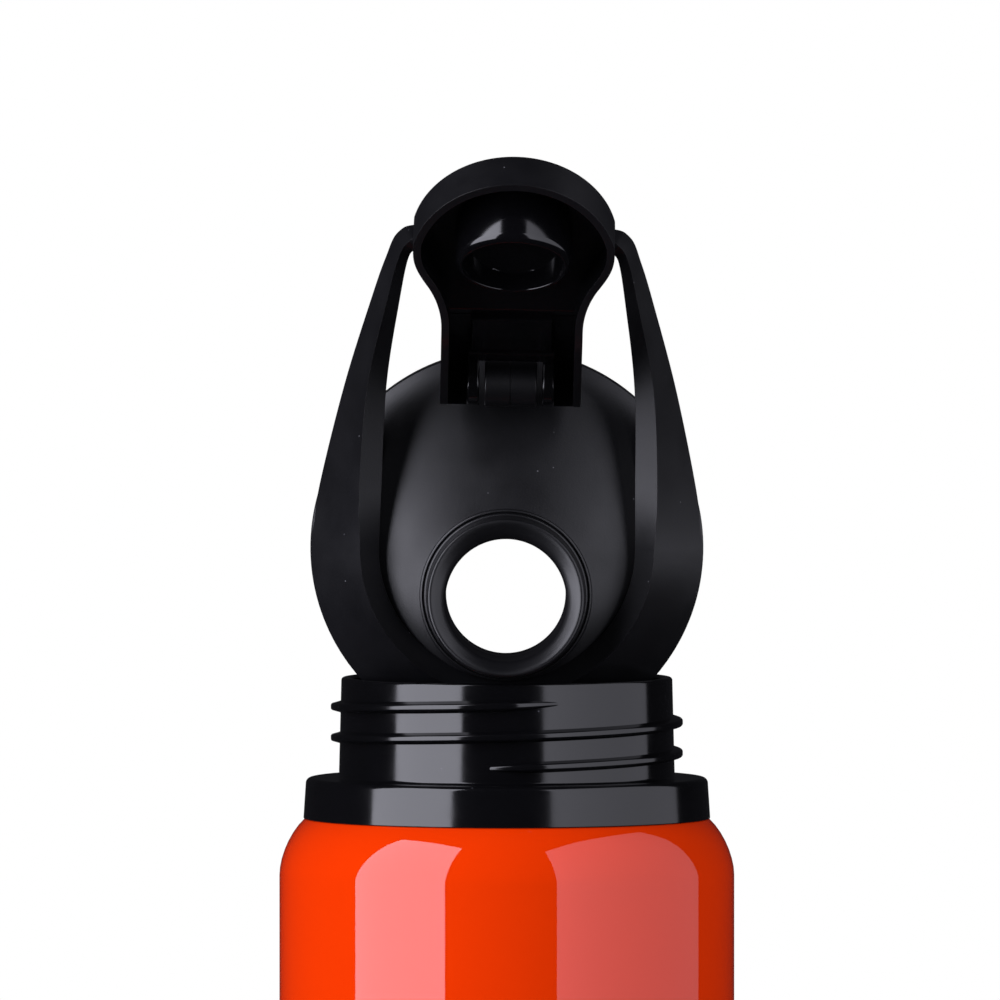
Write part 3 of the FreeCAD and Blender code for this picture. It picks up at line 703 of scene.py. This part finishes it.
@dataclass
class Lid:
    """Skirt, dome and spout, the cup and gasket inside, the carry loop and the hinge."""

    skirt_radius: float = 31.45
    skirt_inner: float = 30.1
    skirt_height: float = 15.5
    dome_rise: float = 8.5
    dome_wall: float = 1.3
    spout_back: float = 7.3
    spout_base: float = 13.8
    spout_outer: float = 12.5
    throat: float = 9.55
    tube_wall: float = 1.05
    lip_height: float = 34.3
    lip_tilt: float = 12.0
    tube_top: float = 29.67
    thread_wall: float = 28.6
    liner_outer: float = 30.05
    plate: float = 15.7
    ridge_in: float = 8.0
    ridge_up: float = 11.5
    handle_in: float = 11.0
    handle_lip: float = 8.0
    loop_reach: float = 20.3
    loop_half: float = 16.7
    loop_rise: float = 10.0
    loop_width: float = 4.6
    loop_depth: float = 5.0
    barrel: float = 3.6
    barrel_half: float = 4.15

    def build(self) -> None:
        """Makes every piece that rides on the lid."""
        self.build_dome()
        self.build_cup()
        self.build_gasket()
        self.build_loop()
        self.build_knuckle()
        dress_node("hinge_pin", STEEL)

    def ring(self, height: float, radius: float, shift: float = 0.0) -> Matrix:
        """A level ring across the lid's axis.

        Args:
            height: Above the skirt's bottom.
            radius: The ring's radius.
            shift: How far its centre lies in front of the axis.

        Returns:
            The unit circle's matrix for it.
        """
        return Matrix.Translation(Vector((0, -shift, height)) * MM) @ disc(radius)

    def lip_ring(self, lift: float, radius: float) -> Matrix:
        """A ring in the spout's sloping lip plane, lifted from it.

        Args:
            lift: Height above the lip's plane, square to it.
            radius: The ring's radius as seen along the lid's axis.

        Returns:
            The unit circle's matrix for it.
        """
        slope = math.radians(self.lip_tilt)
        return (
            Matrix.Translation(Vector((0, -self.spout_back, self.lip_height)) * MM)
            @ Matrix.Rotation(-slope, 4, "X") @ Matrix.Translation((0, 0, lift * MM))
            @ disc(radius, slope)
        )

    def dome_rings(self, inset: float) -> list[Matrix]:
        """The dome's rings from the skirt up to the spout.

        Args:
            inset: How far the dome is drawn in.

        Returns:
            Ring matrices, lowest first.
        """
        drop = self.skirt_radius - self.spout_base
        down, inward = inset * 0.6, inset * 0.8
        given = [(self.skirt_height - inset * 0.2, self.skirt_radius - 0.05 - inset, 0.0)]
        for up, across, back in ((0.24, 0.18, 0.12), (0.53, 0.48, 0.38), (0.82, 0.78, 0.77)):
            given.append((
                self.skirt_height + up * self.dome_rise - down, self.skirt_radius - across * drop - inward,
                back * self.spout_back,
            ))
        given.append((self.skirt_height + self.dome_rise - inset, self.spout_base - inward, self.spout_back))
        return [self.ring(*row) for row in smooth_between(given, 6)]

    def build_dome(self) -> None:
        """Draws the shell up the skirt, over the dome and spout, down the throat and back inside."""
        top = self.skirt_height + self.dome_rise
        back, base, outer = self.spout_back, self.spout_base, self.spout_outer
        mesh = bmesh.new()
        outside = [
            self.ring(0.0, self.skirt_radius - 0.35), self.ring(0.1, self.skirt_radius - 0.12),
            self.ring(0.35, self.skirt_radius), self.ring(self.skirt_height - 0.3, self.skirt_radius),
            *self.dome_rings(0.0),
            *[self.ring(top + up, radius, back) for up, radius in (
                (0.45, base - 0.02), (0.65, base - 0.15), (0.7, base - 0.4), (0.35, 13.32), (0.3, 13.2),
                (0.35, 13.12), (1.15, 13.08), (1.3, 12.98), (1.35, 12.8),
            )],
        ]
        lip = [self.lip_ring(lift, radius) for lift, radius in (
            (-1.2, outer), (-0.55, outer), (-0.25, outer - 0.05), (-0.06, outer - 0.2), (0.0, outer - 0.42),
            (-0.06, outer - 0.7), (-0.4, 11.3), (-0.95, 10.5), (-1.6, 9.85), (-2.2, 9.62),
        )]
        tube = self.throat + self.tube_wall + 0.05
        inside = [
            self.ring(self.tube_top + 0.4, self.throat, back), self.ring(self.tube_top, self.throat, back),
            self.ring(self.tube_top, tube, back), self.ring(top - self.dome_wall - 0.1, tube, back),
            *reversed(self.dome_rings(self.dome_wall)),
            self.ring(self.skirt_height - 0.4, self.skirt_inner), self.ring(0.3, self.skirt_inner),
            self.ring(0.0, self.skirt_inner + 0.3),
        ]
        follow_rings(mesh, outside + lip + inside, closed=True)
        settle(mesh, "lid_dome", Body.LID, (GRAINED,), "lid_shell", LID_STAND, sharp=50)

    def build_cup(self) -> None:
        """Draws the inner cup round the spout's tube and winds the inside thread."""
        back = self.spout_back
        tube = self.throat + self.tube_wall
        plate, thread = self.plate, self.thread_wall
        mesh = bmesh.new()
        follow_rings(mesh, [self.ring(*row) for row in (
            (self.tube_top - 0.15, self.throat, back), (plate + 0.3, self.throat, back),
            (plate, self.throat + 0.3, back), (plate, thread - 1.4), (plate - 0.2, thread - 1.0),
            (14.9, thread), (1.1, thread), (0.8, thread + 0.3), (0.8, self.liner_outer - 0.3),
            (1.1, self.liner_outer), (14.3, self.liner_outer), (plate + 0.2, thread - 0.9),
            (plate + 1.0, thread - 3.2), (plate + 1.0, tube + 0.6, back), (plate + 1.5, tube, back),
            (self.tube_top - 0.15, tube, back),
        )], closed=True)
        add_thread(mesh, thread + 0.05, 2.2, -103.0, -1.25)
        settle(mesh, "inner_cup", Body.LID, (LINER,), "lid_liner", LID_STAND)

    def build_gasket(self) -> None:
        """Spins the flat gasket with its rounded corners."""
        inner, outer, low, high, rounding = 24.4, 27.25, 14.4, 15.6, 0.25
        mesh = turned([
            (inner, low, rounding), (outer, low, rounding), (outer, high, rounding), (inner, high, rounding),
        ])
        settle(mesh, "rim_gasket", Body.LID, (SILICONE,), "lid_gasket", LID_STAND)

    def handle_section(self, row: Sequence[float]) -> list[Vector]:
        """The loop's roof section at one station.

        Args:
            row: Outer, ridge and inner points in plan, then the heights of the four corners.

        Returns:
            The corners: outer foot, ridge, inner lip and inner foot.
        """
        outer_x, outer_y, ridge_x, ridge_y, inner_x, inner_y, foot, ridge, lip, inner_foot = row
        return [
            Vector((outer_x, outer_y, foot)) * MM, Vector((ridge_x, ridge_y, ridge)) * MM,
            Vector((inner_x, inner_y, lip)) * MM, Vector((inner_x, inner_y, inner_foot)) * MM,
        ]

    def build_loop(self) -> None:
        """Draws the roof-section ring round the dome and out behind into the carrying loop."""
        edge, low = self.skirt_radius, self.skirt_height
        ridge, inside = edge - self.ridge_in, edge - self.handle_in
        high, lip = low + self.ridge_up, low + self.handle_lip
        rows: list[list[float]] = []
        quarter = 24
        for step in range(quarter + 1):
            turn = math.radians(-90 + 90 * step / quarter)
            across, along = math.cos(turn), math.sin(turn)
            rows.append([
                edge * across, edge * along, ridge * across, ridge * along, inside * across, inside * along,
                low + 0.1, high, lip, low + 4.9,
            ])
        back, half, rise, depth = edge + self.loop_reach, self.loop_half, self.loop_rise, self.loop_depth
        arm = [
            [edge, 0, ridge, 0, inside, 0, 0.1, high - low, lip - low, 4.9],
            [edge - 1.3, 9.6, ridge + 0.3, 9.6, inside - 0.2, 9.6, 0.4, 11.8, 9.0, 3.6],
            [half + 9.8, 25.8, half + 6.1, 25.8, half + 3.1, 25.8, rise * 0.5, rise * 0.5 + 9.0,
             rise * 0.5 + 7.0, rise * 0.5],
            [half + 5.9, back - 12.4, half + 3.3, back - 12.4, half + 1.3, back - 12.4, rise * 1.1,
             rise * 1.1 + depth + 1.0, rise * 1.1 + depth - 0.2, rise * 1.1],
            [half + 3.7, back - 5.6, half + 1.6, back - 5.5, half, back - 5.4, rise * 1.45,
             rise * 1.45 + depth, rise * 1.45 + depth - 1.2, rise * 1.45],
            [half + 1.7, back - 1.3, half, back - 2.8, half - 1.3, back - 4.2, rise * 1.6,
             rise * 1.6 + depth, rise * 1.6 + depth - 1.2, rise * 1.6],
            [half - 2.4, back, half - 2.8, back - 2.0, half - 3.0, back - self.loop_width, rise * 1.65,
             rise * 1.65 + depth, rise * 1.65 + depth - 1.2, rise * 1.65],
            [0, back, 0, back - 2.0, 0, back - self.loop_width, rise * 1.65,
             rise * 1.65 + depth, rise * 1.65 + depth - 1.2, rise * 1.65],
        ]
        for row in smooth_between(arm, 8)[1:]:
            rows.append(row[:6] + [low + height for height in row[6:]])
        mesh = bmesh.new()
        follow_sections(mesh, [self.handle_section(row) for row in rows])
        bmesh.ops.mirror(
            mesh, geom=whole(mesh), matrix=Matrix.Identity(4),
            merge_dist=MIRROR_WELD, axis="X",
        )
        bmesh.ops.recalc_face_normals(mesh, faces=mesh.faces[:])
        soften(mesh, 0.6, turn=24, segments=4)
        settle(mesh, "carry_loop", Body.LID, (GRAINED,), "carry_handle", LID_STAND)

    def build_knuckle(self) -> None:
        """Draws the hinge barrel and its post across, with the fine parting line at the middle."""
        mesh = bmesh.new()
        top = mesh.verts.new((0, -self.barrel * MM, 0))
        bmesh.ops.spin(mesh, geom=[top], cent=(0, 0, 0), axis=(1, 0, 0), angle=-math.pi, steps=28)
        arc = sorted(mesh.verts, key=lambda vert: vert.co.y)
        outline = [vert.co.copy() for vert in arc]
        mesh.free()
        outline += [Vector((0, self.barrel * MM, -10.8 * MM)), Vector((0, -self.barrel * MM, -10.8 * MM))]
        mesh = bmesh.new()
        half = self.barrel_half
        stations = [
            (-half, 0.93), (-half + 0.08, 0.97), (-half + 0.28, 1.0), (-0.14, 1.0), (-0.07, 0.97),
            (0.07, 0.97), (0.14, 1.0), (half - 0.28, 1.0), (half - 0.08, 0.97), (half, 0.93),
        ]
        follow_sections(mesh, [
            [HINGE + Vector((x * MM, point.y * size, point.z * size)) for point in outline]
            for x, size in stations
        ], capped=True)
        settle(mesh, "hinge_knuckle", Body.LID, (GRAINED,), None, LID_STAND)


# --- flip cap -------------------------------------------------------------------------------------

@dataclass
class FlipCap:
    """The cup-shaped cap that swings on the hinge, and its plug.

    It is drawn flat, rim down: across, along from the hinge, and up from the rim. Then its head is
    bent up and it is set on the hinge.
    """

    head_radius: float = 16.35
    head_along: float = 35.11
    head_height: float = 7.5
    neck_half: float = 11.2
    neck_height: float = 8.2
    neck_low: float = 3.2
    sweep: float = 16.8
    sweep_start: float = 12.9
    wall: float = 1.25
    roof: float = 1.35
    rear: float = 3.4
    notch_half: float = 5.0
    notch_along: float = 4.1
    ear_half: float = 7.0
    box_half: float = 6.5
    box_far: float = 18.0
    box_up: float = 5.6
    bend_start: float = 16.6
    bend_end: float = 21.6
    tilt: float = 24.0
    head_drop: float = 3.35
    plug_back: float = 7.3
    plug_outer: float = 9.3
    plug_inner: float = 8.0
    plug_nose: float = 30.7

    def build(self) -> None:
        """Makes the cap and its plug."""
        self.build_shell()
        self.build_plug()

    def bend(self, mesh: bmesh.types.BMesh) -> None:
        """Bends the head up along the arm and sets the cap closed on the hinge, in the lid's frame.

        Args:
            mesh: The flat cap.
        """
        tilt = math.radians(self.tilt)
        length = self.bend_end - self.bend_start
        radius = length / tilt
        for vert in mesh.verts:
            along, up = vert.co.y / MM, vert.co.z / MM
            share = min(max((along - self.bend_start) / length, 0.0), 1.0)
            angle = tilt * share
            beyond = max(along - self.bend_end, 0.0)
            straight = min(along, self.bend_start)
            rim_along = straight + radius * math.sin(angle) + beyond * math.cos(tilt)
            rim_up = -self.neck_low + radius * (1 - math.cos(angle)) + beyond * math.sin(tilt)
            up *= 1 + (self.head_height / self.neck_height - 1) * share
            vert.co.y = HINGE.y - (rim_along - math.sin(angle) * up) * MM
            vert.co.z = HINGE.z + (rim_up + math.cos(angle) * up) * MM

    def outline(self, mesh: bmesh.types.BMesh) -> bmesh.types.BMFace:
        """Draws the cap's plan: round head, swept flanks and neck.

        Args:
            mesh: An empty mesh.

        Returns:
            The flat face.
        """
        head = Vector((0, self.head_along, 0)) * MM
        flank = Vector((self.neck_half + self.sweep, self.head_along - self.sweep_start, 0)) * MM
        apart = (flank - head).length / MM
        lean = (self.head_radius ** 2 - self.sweep ** 2 + apart ** 2) / (2 * apart)
        off = math.sqrt(self.head_radius ** 2 - lean ** 2)
        toward = (flank - head).normalized()
        meet = head + (toward * lean + Vector((-toward.y, toward.x, 0)) * off) * MM
        tip = mesh.verts.new(head + Vector((0, self.head_radius, 0)) * MM)
        round_angle = Vector((0, 1, 0)).angle(meet - head)
        last = bmesh.ops.spin(
            mesh, geom=[tip], cent=head, axis=(0, 0, 1), angle=-round_angle, steps=44
        )["geom_last"]
        corner = verts_in(last)[0]
        swept = (meet - flank).angle(Vector((-1, 0, 0)))
        last = bmesh.ops.spin(
            mesh, geom=[corner], cent=flank, axis=(0, 0, 1), angle=swept, steps=16
        )["geom_last"]
        corner_at = corner.co.copy()
        end = verts_in(last)[0]
        for across in (self.neck_half, 0):
            made = bmesh.ops.extrude_vert_indiv(mesh, verts=[end])["verts"][0]
            made.co = Vector((across, -self.rear, 0)) * MM
            end = made
        near_corner = [vert for vert in mesh.verts if (vert.co - corner_at).length < 4.5 * MM]
        for _ in range(40):
            bmesh.ops.smooth_vert(mesh, verts=near_corner, factor=0.5, use_axis_x=True, use_axis_y=True)
        bmesh.ops.mirror(
            mesh, geom=mesh.verts[:] + mesh.edges[:], matrix=Matrix.Identity(4),
            merge_dist=MIRROR_WELD, axis="X",
        )
        bmesh.ops.remove_doubles(mesh, verts=mesh.verts[:], dist=MIRROR_WELD)
        return bmesh.ops.contextual_create(mesh, geom=mesh.edges[:])["faces"][0]

    def build_shell(self) -> None:
        """Raises the walls from the plan, hollows them, cuts the hinge's room and rounds the edges."""
        mesh = bmesh.new()
        rim = self.outline(mesh)
        raised = bmesh.ops.extrude_face_region(mesh, geom=[rim], use_keep_orig=True)["geom"]
        roof_verts = verts_in(raised)
        bmesh.ops.translate(mesh, verts=roof_verts, vec=(0, 0, self.neck_height * MM))
        bmesh.ops.recalc_face_normals(mesh, faces=mesh.faces[:])
        rim = min(mesh.faces, key=lambda face: face.calc_center_median().z)
        bmesh.ops.inset_region(
            mesh, faces=[rim], thickness=self.wall * MM, use_even_offset=True, use_boundary=True
        )
        hollow = bmesh.ops.extrude_discrete_faces(mesh, faces=[rim])["faces"][0]
        bmesh.ops.translate(mesh, verts=list(hollow.verts), vec=(0, 0, (self.neck_height - self.roof) * MM))
        for face in {face for vert in hollow.verts for face in vert.link_faces}:
            face.material_index = 1
        self.cut_notch(mesh)
        self.round_rear(mesh)
        soften(mesh, 0.9, turn=60, segments=5, chosen=lambda edge: all(
            vert.co.z > (self.neck_height - 0.05) * MM and vert.co.y > (self.notch_along + 0.1) * MM
            for vert in edge.verts
        ))
        soften(mesh, 0.42, turn=50, segments=4)
        for step in range(9):
            cut = self.bend_start + (self.bend_end - self.bend_start) * step / 8
            bmesh.ops.bisect_plane(
                mesh, geom=whole(mesh), dist=NEAR,
                plane_co=(0, cut * MM, 0), plane_no=(0, 1, 0),
            )
        inner_roof = self.neck_height - self.roof + 0.4
        notch = self.notch_along
        self.add_block(mesh, self.box_half, (notch + 0.05, self.box_far), (self.box_up, inner_roof))
        self.add_block(
            mesh, self.ear_half, (notch - 0.3, notch + 2.5), (self.box_up - 0.45, inner_roof)
        )
        for side in (-1, 1):
            self.add_ear(mesh, side)
        self.bend(mesh)
        settle(mesh, "flip_lid", Body.CAP, (GRAINED, POLISHED), "flip_cap", CAP_STAND)

    def cut_notch(self, mesh: bmesh.types.BMesh) -> None:
        """Cuts the barrel's room through the roof and the rear wall, and closes the cut faces.

        Args:
            mesh: The flat cap.
        """
        half, along = self.notch_half * MM, self.notch_along * MM
        bmesh.ops.bisect_plane(
            mesh, geom=whole(mesh), dist=NEAR,
            plane_co=(0, along, 0), plane_no=(0, 1, 0),
        )
        for side in (-1, 1):
            faces = [face for face in mesh.faces if face.calc_center_median().y < along]
            edges = {edge for face in faces for edge in face.edges}
            verts = {vert for face in faces for vert in face.verts}
            bmesh.ops.bisect_plane(
                mesh, geom=[*verts, *edges, *faces], dist=NEAR,
                plane_co=(side * half, 0, 0), plane_no=(1, 0, 0),
            )
        inside = [
            face for face in mesh.faces
            if abs(face.calc_center_median().x) < half - NEAR and face.calc_center_median().y < along - NEAR
        ]
        bmesh.ops.delete(mesh, geom=inside, context="FACES")
        for side in (-1, 1):
            mesh.edges.new([
                vert for vert in mesh.verts
                if abs(vert.co.x - side * half) < NEAR * 10 and abs(vert.co.y - along) < NEAR * 10
            ][:2])
        for axis, level in ((0, -half), (0, half), (1, along)):
            edges = [
                edge for edge in mesh.edges
                if not edge.is_manifold and all(abs(vert.co[axis] - level) < NEAR * 10 for vert in edge.verts)
            ]
            bmesh.ops.contextual_create(mesh, geom=edges)

    def round_rear(self, mesh: bmesh.types.BMesh) -> None:
        """Trims the prongs' rear corners to planes round the hinge, and closes each cut.

        Args:
            mesh: The flat cap.
        """
        hinge = Vector((0, 0, self.neck_low)) * MM
        for lean, reach in ((18, self.rear), (42, self.rear), (66, self.rear), (-45, 4.9)):
            turn = math.radians(lean)
            away = Vector((0, -math.cos(turn), -math.sin(turn)))
            bmesh.ops.bisect_plane(
                mesh, geom=whole(mesh), dist=NEAR,
                plane_co=hinge + away * reach * MM, plane_no=away, clear_outer=True,
            )
            bmesh.ops.holes_fill(mesh, edges=[edge for edge in mesh.edges if edge.is_boundary], sides=0)

    def add_block(
        self, mesh: bmesh.types.BMesh, half: float, along: tuple[float, float], up: tuple[float, float]
    ) -> None:
        """Adds a low block with rounded edges under the neck's roof.

        Args:
            mesh: The flat cap.
            half: Half its width.
            along: Where it starts and ends along the cap.
            up: Its lower face and where it sinks in the roof.
        """
        block = bmesh.new()
        bmesh.ops.create_cube(block, size=1.0, matrix=Matrix.Translation(
            Vector((0, sum(along) / 2, sum(up) / 2)) * MM
        ) @ Matrix.Diagonal((half * 2 * MM, (along[1] - along[0]) * MM, (up[1] - up[0]) * MM, 1)))
        soften(block, 0.35, turn=60, segments=4)
        self.take_in(mesh, block)

    def add_ear(self, mesh: bmesh.types.BMesh, side: int) -> None:
        """Adds one ear: round below the hinge pin, straight up to the roof.

        Args:
            mesh: The flat cap.
            side: Minus one for the left ear, one for the right.
        """
        ear = bmesh.new()
        start = ear.verts.new((0, self.rear * MM, self.neck_low * MM))
        bmesh.ops.spin(
            ear, geom=[start], cent=(0, 0, self.neck_low * MM), axis=(1, 0, 0), angle=-math.pi, steps=24
        )
        arc = sorted(ear.verts, key=lambda vert: -vert.co.y)
        top = (self.neck_height - self.roof + 0.3) * MM
        for along, end in ((-self.rear * MM, arc[-1]), ((self.rear + 0.45) * MM, arc[0])):
            ear.edges.new((end, ear.verts.new((0, along, top))))
        bmesh.ops.contextual_create(ear, geom=[vert for vert in ear.verts if len(vert.link_edges) == 1])
        face = bmesh.ops.contextual_create(ear, geom=ear.edges[:])["faces"]
        raised = bmesh.ops.extrude_face_region(ear, geom=face, use_keep_orig=True)["geom"]
        width = (self.ear_half - self.notch_half) * MM
        bmesh.ops.translate(ear, verts=verts_in(raised), vec=(width, 0, 0))
        bmesh.ops.recalc_face_normals(ear, faces=ear.faces[:])
        soften(ear, 0.4, turn=60, segments=4)
        shift = self.notch_half * MM if side > 0 else -self.ear_half * MM
        bmesh.ops.translate(ear, verts=ear.verts[:], vec=(shift, 0, 0))
        self.take_in(mesh, ear)

    def take_in(self, mesh: bmesh.types.BMesh, part: bmesh.types.BMesh) -> None:
        """Joins a polished part of the cap's underside to the cap.

        Args:
            mesh: The flat cap.
            part: The part, which is freed.
        """
        for face in part.faces:
            face.material_index = 1
        spare = bpy.data.meshes.new("part")
        part.to_mesh(spare)
        part.free()
        mesh.from_mesh(spare)
        bpy.data.meshes.remove(spare)

    def build_plug(self) -> None:
        """Draws the ring plug down from its foot on the roof, with a rounded nose and a blind middle."""
        tilt = math.radians(self.tilt)
        head = Matrix.Translation(
            Vector((0, -self.plug_back, HINGE.z / MM + self.head_drop)) * MM
        ) @ Matrix.Rotation(-tilt, 4, "X")

        def sloping(up: float, radius: float) -> Matrix:
            """A ring level with the head's rim.

            Args:
                up: Its height above the rim.
                radius: Its radius as seen along the plug's axis.

            Returns:
                The unit circle's matrix for it.
            """
            return head @ Matrix.Translation(Vector((0, -up * math.tan(tilt), up)) * MM) @ disc(radius, tilt)

        def level(height: float, radius: float) -> Matrix:
            """A ring square to the plug's own axis.

            Args:
                height: Its height in the lid's frame.
                radius: Its radius.

            Returns:
                The unit circle's matrix for it.
            """
            return Matrix.Translation(Vector((0, -self.plug_back, height)) * MM) @ disc(radius)

        outer, inner, nose = self.plug_outer, self.plug_inner, self.plug_nose
        mesh = bmesh.new()
        follow_rings(mesh, [
            sloping(6.2, outer), sloping(5.2, outer),
            *[level(nose + up, outer - inward) for up, inward in (
                (1.3, 0.0), (0.85, 0.07), (0.45, 0.28), (0.16, 0.58), (0.03, 0.9), (0.0, 1.08),
            )],
            level(nose + 0.05, inner + 0.12), level(nose + 0.25, inner),
            sloping(5.9, inner - 0.02), sloping(6.1, inner - 0.3), sloping(6.12, inner * 0.5),
        ], closed=False, steps=128)
        settle(mesh, "plug_ring", Body.CAP, (PLUG,), "spout_plug", CAP_STAND)


def dress_node(name: str, finish: Finish) -> None:
    """Gives a carried-over CAD node its finish.

    Args:
        name: The node.
        finish: Its material.
    """
    node = frame["nodes"][name]
    node.data.materials.clear()
    node.data.materials.append(finish.build())
    log.info("%s: kept, dressed in %s", name, finish.name)


# --- studio ---------------------------------------------------------------------------------------

@dataclass
class Panel:
    """A soft light panel standing round the bottle."""

    name: str
    azimuth: float       # degrees left of the camera's direction
    spread: float        # degrees that it spans
    low: float           # metres
    high: float
    radiance: float
    far_share: float = 1.0      # radiance at the edge away from the camera
    distance: float = 1.1

    def build(self, target: Vector) -> None:
        """Stands the panel facing the target.

        Args:
            target: The point that it faces.
        """
        turn = math.radians(self.azimuth)
        width = 2 * self.distance * math.tan(math.radians(self.spread / 2))
        height = self.high - self.low
        light = bpy.data.lights.new(self.name, "AREA")
        light.shape = "RECTANGLE"
        light.size, light.size_y = width, height
        light.energy = self.radiance * math.pi * width * height
        light.color = PANEL_TINT
        light.use_nodes = True
        tree = light.node_tree
        across = add_node(
            tree, "ShaderNodeSeparateXYZ", {0: add_node(tree, "ShaderNodeNewGeometry").outputs["Parametric"]}
        )
        fade = add_node(tree, "ShaderNodeMapRange", {
            "Value": across.outputs["X"], "To Min": 1.0, "To Max": self.far_share,
        })
        tree.links.new(fade.outputs["Result"], tree.nodes["Emission"].inputs["Strength"])
        lamp = bpy.data.objects.new(self.name, light)
        away = Vector((-math.sin(turn), -math.cos(turn), 0))
        lamp.location = Vector((target.x, target.y, (self.low + self.high) / 2)) + away * self.distance
        lamp.rotation_euler = away.to_track_quat("Z", "Y").to_euler()
        bpy.context.scene.collection.objects.link(lamp)


@dataclass
class Studio:
    """Pale floor, white surround, soft panels and the camera."""

    distance: float = 3.0
    elevation: float = 1.9
    picture_width: float = 0.1604
    centre_across: float = -0.0011
    centre_above_rim: float = 0.0284
    floor_radius: float = 1.1

    def build(self) -> None:
        """Sets up the whole studio."""
        low, high = CAD_BOX
        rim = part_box("neck_collar")[1].z
        self.build_camera(Vector((self.centre_across, 0, rim + self.centre_above_rim)))
        self.build_floor(low.z)
        self.build_surround()
        middle = Vector((0, 0, (low.z + high.z) / 2))
        for panel in (
            Panel("left_softbox", 56.5, 51, 0.02, 1.75, 4.9),
            Panel("right_softbox", -69, 88, 0.02, 1.9, 1.9, far_share=0.4),
        ):
            panel.build(middle)
        bpy.context.scene.view_settings.view_transform = "Standard"

    def build_camera(self, target: Vector) -> None:
        """Aims a long lens at the target.

        Args:
            target: The picture's centre.
        """
        data = bpy.data.cameras.new("camera")
        data.sensor_width = 36.0
        data.lens = 36.0 * self.distance / self.picture_width
        camera = bpy.data.objects.new("camera", data)
        rise = math.radians(self.elevation)
        away = Vector((0, -math.cos(rise), math.sin(rise)))
        camera.location = target + away * self.distance
        camera.rotation_euler = away.to_track_quat("Z", "Y").to_euler()
        bpy.context.scene.collection.objects.link(camera)
        bpy.context.scene.camera = camera

    def build_floor(self, height: float) -> None:
        """Lays the round pale floor.

        Args:
            height: The floor's level.
        """
        mesh = bmesh.new()
        bmesh.ops.create_circle(mesh, cap_ends=True, segments=96, radius=self.floor_radius)
        bmesh.ops.translate(mesh, verts=mesh.verts[:], vec=(0, 0, height - 0.0002))
        data = bpy.data.meshes.new("floor")
        mesh.to_mesh(data)
        mesh.free()
        data.materials.append(Finish(
            "painted_board", "#c9c9c8", "#c4c4c3", roughness=0.7, rough_drift=0.04, grain_mm=3.0,
            grain_depth_mm=0.01, drift_mm=200.0,
        ).build())
        floor = bpy.data.objects.new("floor", data)
        floor.visible_glossy = False
        bpy.context.scene.collection.objects.link(floor)

    def build_surround(self) -> None:
        """White to the camera, dim to everything that it lights or is mirrored in."""
        world = bpy.data.worlds.new("surround")
        world.use_nodes = True
        tree = world.node_tree
        tree.nodes.clear()
        path = add_node(tree, "ShaderNodeLightPath")
        dim = add_node(tree, "ShaderNodeMix", {
            0: path.outputs["Is Glossy Ray"], 6: SURROUND_LIGHT, 7: SURROUND_MIRRORED,
        }, data_type="RGBA")
        seen = add_node(tree, "ShaderNodeMix", {
            0: path.outputs["Is Camera Ray"], 6: dim.outputs[2], 7: SURROUND_SEEN,
        }, data_type="RGBA")
        background = add_node(tree, "ShaderNodeBackground", {"Color": seen.outputs[2], "Strength": 1.0})
        add_node(tree, "ShaderNodeOutputWorld", {"Surface": background.outputs["Background"]})
        bpy.context.scene.world = world


def main() -> None:
    """Builds the studio and every sub-assembly in order."""
    Studio().build()
    Flask().build()
    Lid().build()
    FlipCap().build()


if __name__ == "__main__":
    main()
